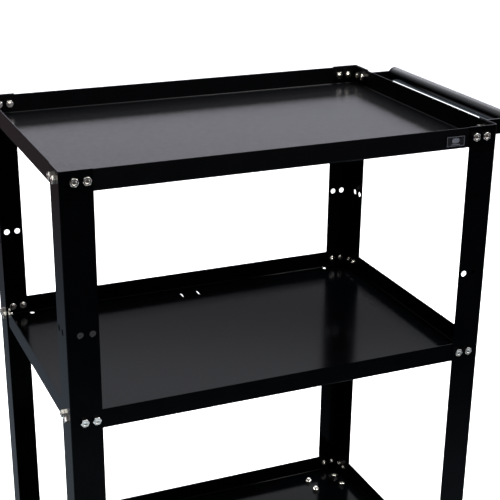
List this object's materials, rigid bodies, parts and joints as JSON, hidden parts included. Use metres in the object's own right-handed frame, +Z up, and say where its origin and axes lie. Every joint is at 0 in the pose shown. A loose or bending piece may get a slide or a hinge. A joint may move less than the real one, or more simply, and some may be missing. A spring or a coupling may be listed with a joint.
{
  "type": "tool cart",
  "caption": "Black steel tool cart with lipped tray shelves bolted between angle posts, a round push handle at one end, and plate casters, swivelling and braked at the handle end.",
  "frame": {"origin": "on the floor, under the middle of the whole cart with its handle and bolt heads", "axes": "+X along the length towards the handle, +Y towards the long side without the label, +Z up"},
  "size_m": [0.674, 0.4166, 0.8554],
  "materials": {
    "black_paint": "semi-gloss black powder coat",
    "zinc": "bright zinc plating",
    "caster_steel": "zinc-plated pressed steel",
    "rubber": "matt black rubber tread",
    "wheel_plastic": "moulded grey wheel centre",
    "brake_plastic": "moulded red pedal",
    "label": "blank dark label with a grey border"
  },
  "bodies": {
    "chassis": {"top_tray": "black_paint", "middle_tray": "black_paint", "bottom_tray": "black_paint", "post_front_left": "black_paint", "post_back_left": "black_paint", "post_front_right": "black_paint", "post_back_right": "black_paint", "handle_tube": "black_paint", "handle_arm_front": "black_paint", "handle_arm_back": "black_paint", "label_plate": "label", "bolt_top_front_left_long": "zinc", "bolt_top_front_left_end": "zinc", "bolt_top_back_left_long": "zinc", "bolt_top_back_left_end": "zinc", "bolt_top_front_right_long": "zinc", "bolt_top_front_right_end": "zinc", "bolt_top_back_right_long": "zinc", "bolt_top_back_right_end": "zinc", "bolt_middle_front_left_long": "zinc", "bolt_middle_front_left_end": "zinc", "bolt_middle_back_left_long": "zinc", "bolt_middle_back_left_end": "zinc", "bolt_middle_front_right_long": "zinc", "bolt_middle_front_right_end": "zinc", "bolt_middle_back_right_long": "zinc", "bolt_middle_back_right_end": "zinc", "bolt_bottom_front_left_long": "zinc", "bolt_bottom_front_left_end": "zinc", "bolt_bottom_back_left_long": "zinc", "bolt_bottom_back_left_end": "zinc", "bolt_bottom_front_right_long": "zinc", "bolt_bottom_front_right_end": "zinc", "bolt_bottom_back_right_long": "zinc", "bolt_bottom_back_right_end": "zinc", "rigid_fork_front_left": "caster_steel", "axle_bolt_front_left": "zinc", "rigid_fork_back_left": "caster_steel", "axle_bolt_back_left": "zinc", "caster_plate_front_right": "caster_steel", "kingpin_front_right": "caster_steel", "ball_race_front_right": "caster_steel", "caster_plate_back_right": "caster_steel", "kingpin_back_right": "caster_steel", "ball_race_back_right": "caster_steel"},
    "wheel_front_left": {"tyre_front_left": "rubber", "wheel_core_front_left": "wheel_plastic"},
    "wheel_back_left": {"tyre_back_left": "rubber", "wheel_core_back_left": "wheel_plastic"},
    "wheel_front_right": {"tyre_front_right": "rubber", "wheel_core_front_right": "wheel_plastic"},
    "fork_front_right": {"swivel_fork_front_right": "caster_steel", "axle_bolt_front_right": "zinc"},
    "brake_front_right": {"brake_pedal_front_right": "brake_plastic"},
    "wheel_back_right": {"tyre_back_right": "rubber", "wheel_core_back_right": "wheel_plastic"},
    "fork_back_right": {"swivel_fork_back_right": "caster_steel", "axle_bolt_back_right": "zinc"},
    "brake_back_right": {"brake_pedal_back_right": "brake_plastic"}
  },
  "joints": [
    {"name": "wheel_spin_front_left", "type": "hinge", "parent": "chassis", "child": "wheel_front_left", "pos_m": [-0.27973, -0.153, 0.038], "axis": [0, 1, 0], "continuous": true},
    {"name": "wheel_spin_back_left", "type": "hinge", "parent": "chassis", "child": "wheel_back_left", "pos_m": [-0.27973, 0.153, 0.038], "axis": [0, 1, 0], "continuous": true},
    {"name": "swivel_front_right", "type": "hinge", "parent": "chassis", "child": "fork_front_right", "pos_m": [0.22428, -0.153, 0.085], "axis": [0, 0, 1], "continuous": true},
    {"name": "wheel_spin_front_right", "type": "hinge", "parent": "fork_front_right", "child": "wheel_front_right", "pos_m": [0.25028, -0.153, 0.038], "axis": [0, 1, 0], "continuous": true},
    {"name": "brake_press_front_right", "type": "hinge", "parent": "fork_front_right", "child": "brake_front_right", "pos_m": [0.26427, -0.153, 0.08], "axis": [0, 1, 0], "range_deg": [0, 15]},
    {"name": "swivel_back_right", "type": "hinge", "parent": "chassis", "child": "fork_back_right", "pos_m": [0.22428, 0.153, 0.085], "axis": [0, 0, 1], "continuous": true},
    {"name": "wheel_spin_back_right", "type": "hinge", "parent": "fork_back_right", "child": "wheel_back_right", "pos_m": [0.25028, 0.153, 0.038], "axis": [0, 1, 0], "continuous": true},
    {"name": "brake_press_back_right", "type": "hinge", "parent": "fork_back_right", "child": "brake_back_right", "pos_m": [0.26427, 0.153, 0.08], "axis": [0, 1, 0], "range_deg": [0, 15]}
  ]
}
